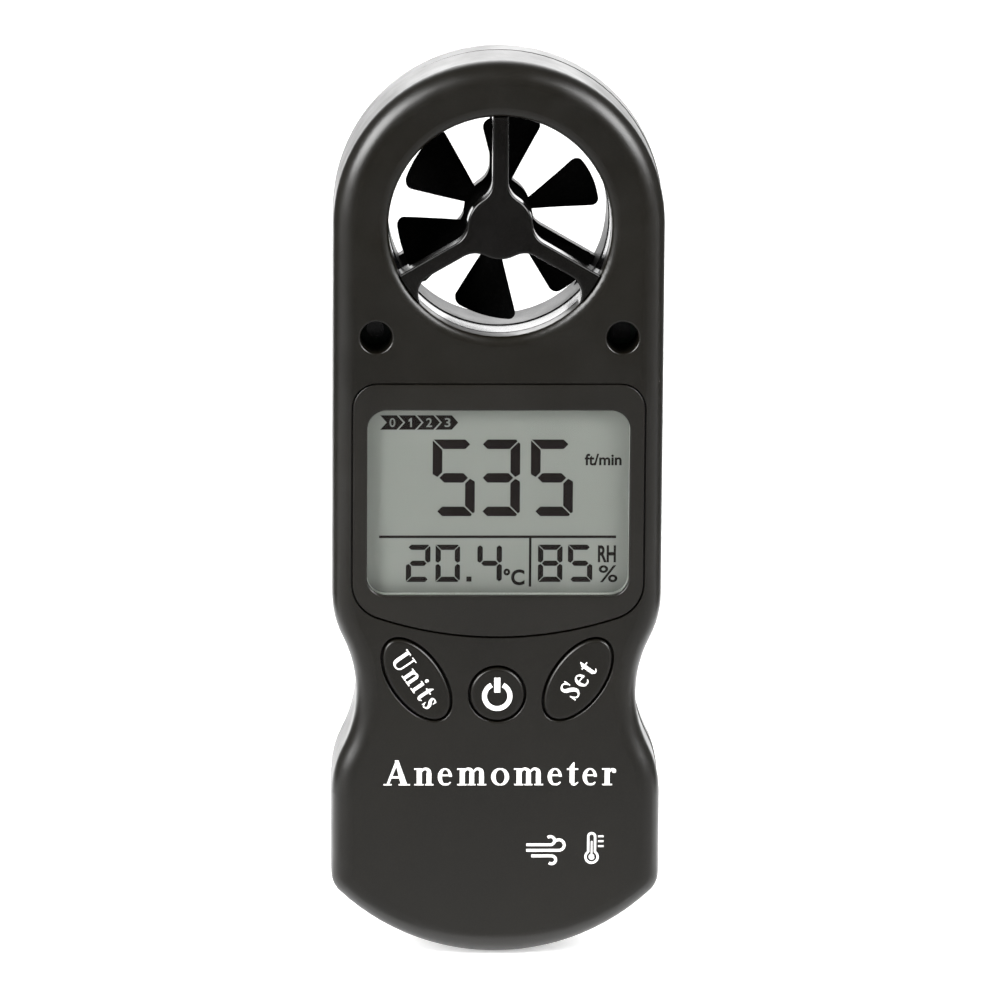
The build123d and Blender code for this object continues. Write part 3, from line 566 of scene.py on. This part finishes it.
def key_prints():
    units = Print("units_print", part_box("units_button")[0].y, INK, "units_key")
    lettering(units, "Units", middle_of("units_button"), KEY_LETTER, UNITS_WIDTH, turn=-KEY_TURN)
    units.build()
    set_key = Print("set_print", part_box("set_button")[0].y, INK, "set_key")
    lettering(set_key, "Set", middle_of("set_button"), KEY_LETTER, SET_WIDTH, turn=KEY_TURN)
    set_key.build()
    power = Print("power_print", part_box("power_button")[0].y, INK, "power_key")
    x, z = middle_of("power_button")
    power_symbol(power, x, z - POWER_DROP)
    power.build()


# ---- content of the display, in millimetres of X and Z -------------------------------------------------
ARROW_X, ARROW_PITCH = -17.3, 2.69
ARROW_Z = (78.85, 81.0)
ARROW_BACK, ARROW_NOTCH = 2.4, 0.95  # length of its straight edges, depth of its notch and its point
POINTER_X = 1.78  # from an arrow's left corner to the middle of its digit
POINTER_HALF = 0.43
POINTER_Z = (79.25, 80.6)
SPEED = (("5", -9.6), ("3", -2.97), ("5", 4.8))
SPEED_SHAPE = dict(z=65.9, w=6.2, h=11.48, t=1.42, gap=0.13)
CLIMATE = (("2", -13.45), ("0", -9.1), ("4", -2.95), ("8", 5.95), ("5", 10.35))
CLIMATE_SHAPE = dict(z=56.0, w=3.6, h=5.6, t=0.78, gap=0.08)
POINT = (-4.55, -3.8, 56.05, 56.8)
RULE = (-17.4, 17.4, 62.6, 62.98)
DIVIDER = (4.62, 4.98, 55.3, 62.8)
UNITS = (  # name, words, box, added weight
    ("unit_speed", "ft/min", (12.7, 18.1, 73.5, 75.25), 0.025),
    ("unit_degree", "°C", (0.9, 4.0, 55.5, 58.0), 0.03),
    ("unit_humid", "RH", (14.75, 17.4, 58.95, 61.5), 0.03),
    ("unit_percent", "%", (14.9, 17.65, 55.95, 58.5), 0.01),
)
TEXT_OUT, ONE_OUT, POINTER_OUT = 0.01 * MM, 0.03 * MM, 0.05 * MM  # in front of the glass


def arrow(sheet, x):
    low, high = ARROW_Z
    middle = (low + high) / 2
    sheet.polygon([(x, low), (x + ARROW_BACK, low), (x + ARROW_BACK + ARROW_NOTCH, middle),
                   (x + ARROW_BACK, high), (x, high), (x + ARROW_NOTCH, middle)])


def pointer_one(face, x):
    """The digit 1 with its short flag, which the plain lettering draws too thin."""
    low, high = POINTER_Z
    one = Print("pointer_1", face - ONE_OUT, POINTER_DIGIT, slot="lcd")
    one.polygon([(x - 0.08, low), (x + 0.16, low), (x + 0.16, high), (x - 0.04, high),
                 (x - 0.34, high - 0.32), (x - 0.34, high - 0.58), (x - 0.08, high - 0.46)])
    one.build()


def display_content():
    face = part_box("lcd_glass")[0].y
    lcd = Print("display_segments", face, SEGMENT, slot="lcd")
    for k in range(4):
        x = ARROW_X + ARROW_PITCH * k
        arrow(lcd, x)
        middle = x + POINTER_X
        if k == 1:
            pointer_one(face, middle)
        else:
            box = (middle - POINTER_HALF, middle + POINTER_HALF, *POINTER_Z)
            small_text(f"pointer_{k}", str(k), box, face - POINTER_OUT, POINTER_DIGIT, 0.015)
    for value, x in SPEED:
        digit(lcd, value, x, **SPEED_SHAPE)
    for value, x in CLIMATE:
        digit(lcd, value, x, **CLIMATE_SHAPE)
    for edges in (POINT, RULE, DIVIDER):
        lcd.polygon(bar(*edges))
    lcd.build()
    for name, words, box, thick in UNITS:
        small_text(name, words, box, face - TEXT_OUT, SEGMENT, thick)


front_prints()
key_prints()
display_content()

# ---- floor, world and lights ---------------------------------------------------------------------------
FLOOR_REACH = 12.0
FLOOR_DROP = 0.3 * MM
CARD_LIFT = 1 * MM
CARD_EDGE = -0.012  # the front card ends just in front of the object
FRONT_HALF, FRONT_DEPTH = 1.2, 3.0
FRONT_GLOW = 0.85
FRONT_FADE = (-0.05, -0.60)
FAN_NEAR = (0.12, 0.02)  # right corners of the fan-shaped back card
FAN_FAR = (3.2, FLOOR_REACH)
FAN_GLOW = 2.6
SIDE_GLOW = 0.15
WORLD_FRONT = 0.05
WORLD_SIDE = (-0.6, -0.2, 0.14)  # from and to a direction towards +Y, and the gain
WORLD_BACK = (0.5, 0.97, 3.2)
WORLD_WIDTH = (0.46, 0.16, 1.0)  # the bright part behind fades out sideways
SOFTBOX_AIM = (0, 0, 0.1)
SOFTBOXES = (  # name, place, size, watts
    ("key_left", (-1.30, -0.78, 0.88), (1.2, 1.0), 60),
    ("key_right", (1.28, -0.72, 0.96), (1.1, 0.9), 46),
)


def make_floor():
    mesh = bpy.data.meshes.new("floor")
    r = FLOOR_REACH
    mesh.from_pydata([(x, y, 0) for x, y in bar(-r, r, -r, r)], [], [(0, 1, 2, 3)])
    floor = bpy.data.objects.new("floor", mesh)
    bpy.context.scene.collection.objects.link(floor)
    floor.location.z = -FLOOR_DROP
    n = Nodes("floor_white")
    tone = n.mix(n.noise(3.0), (0.80, 0.80, 0.80, 1), (0.83, 0.83, 0.83, 1))
    mesh.materials.append(n.principled(Base_Color=tone, Roughness=0.9, Specular_IOR_Level=0.0,
                                       Emission_Color=(1, 1, 1, 1), Emission_Strength=0.5))


def card(name, outline, glow, fade=(-1.0, 1.0)):
    """A card on the floor that is seen only in reflections, from an outline of X and Y. The glow goes from
    its first value to its second between two places along Y."""
    mesh = bpy.data.meshes.new(name)
    mesh.from_pydata([(x, y, 0) for x, y in outline], [], [list(range(len(outline)))])
    obj = bpy.data.objects.new(name, mesh)
    bpy.context.scene.collection.objects.link(obj)
    obj.location.z = CARD_LIFT
    n = Nodes(name)
    along = n.add("ShaderNodeSeparateXYZ", Vector=n.coord).outputs["Y"]
    strength = n.ramp(along, *fade, *glow)
    mesh.materials.append(n.principled(Base_Color=shade((0.002, 0.002, 0.002)), Roughness=1.0,
                                       Specular_IOR_Level=0.0, Emission_Color=(1, 1, 1, 1),
                                       Emission_Strength=strength))
    for sees in ("visible_camera", "visible_diffuse", "visible_shadow", "visible_transmission"):
        setattr(obj, sees, False)


def make_cards():
    """In front a card that fades to black, which keeps the front dark; dim ones beside the object, which
    keep its edges dark; and a bright one behind, which lights its walls."""
    card("front_card", bar(-FRONT_HALF, FRONT_HALF, -FRONT_DEPTH, CARD_EDGE), (FRONT_GLOW, 0.0), FRONT_FADE)
    (near_x, near_y), (far_x, far_y) = FAN_NEAR, FAN_FAR
    fan = [(-near_x, near_y), FAN_NEAR, FAN_FAR, (-far_x, far_y)]
    card("back_card", fan, (FAN_GLOW, FAN_GLOW))
    reach = FLOOR_REACH
    for side, name in ((-1, "left_card"), (1, "right_card")):
        outline = [FAN_NEAR, (FRONT_HALF, CARD_EDGE), (reach, CARD_EDGE), (reach, reach), FAN_FAR]
        card(name, [(side * x, y) for x, y in outline][::side], (SIDE_GLOW, SIDE_GLOW))


def make_world():
    """Dark in front, dim at the sides and bright in a strip behind, as seen from the object."""
    world = bpy.data.worlds.new("studio")
    bpy.context.scene.world = world
    world.use_nodes = True
    tree = world.node_tree
    tree.nodes.clear()

    def math_node(kind, a, b):
        node = tree.nodes.new("ShaderNodeMath")
        node.operation = kind
        for socket, value in zip(node.inputs, (a, b)):
            if isinstance(value, bpy.types.NodeSocket):
                tree.links.new(value, socket)
            else:
                socket.default_value = value
        return node.outputs[0]

    def ramp(value, span):
        node = tree.nodes.new("ShaderNodeMapRange")
        node.interpolation_type = "SMOOTHSTEP"
        for key, number in zip(("From Min", "From Max", "To Max"), span):
            node.inputs[key].default_value = number
        tree.links.new(value, node.inputs["Value"])
        return node.outputs["Result"]

    out = tree.nodes.new("ShaderNodeOutputWorld")
    back = tree.nodes.new("ShaderNodeBackground")
    split = tree.nodes.new("ShaderNodeSeparateXYZ")
    tree.links.new(tree.nodes.new("ShaderNodeTexCoord").outputs["Generated"], split.inputs[0])
    sideways = math_node("ABSOLUTE", split.outputs["X"], 0.0)
    strip = math_node("MULTIPLY", ramp(split.outputs["Y"], WORLD_BACK), ramp(sideways, WORLD_WIDTH))
    dim = math_node("ADD", ramp(split.outputs["Y"], WORLD_SIDE), WORLD_FRONT)
    tree.links.new(math_node("ADD", strip, dim), back.inputs["Strength"])
    back.inputs["Color"].default_value = (1, 1, 1, 1)
    tree.links.new(back.outputs[0], out.inputs["Surface"])


def softbox(name, spot, size, power):
    data = bpy.data.lights.new(name, "AREA")
    data.shape = "RECTANGLE"
    data.size, data.size_y = size
    data.energy = power
    lamp = bpy.data.objects.new(name, data)
    bpy.context.scene.collection.objects.link(lamp)
    lamp.visible_camera = False
    lamp.location = spot
    lamp.rotation_euler = (Vector(SOFTBOX_AIM) - Vector(spot)).to_track_quat("-Z", "Y").to_euler()


make_floor()
make_cards()
make_world()
for lamp in SOFTBOXES:
    softbox(*lamp)
bpy.context.scene.view_settings.view_transform = "Standard"
bpy.context.scene.view_settings.look = "None"
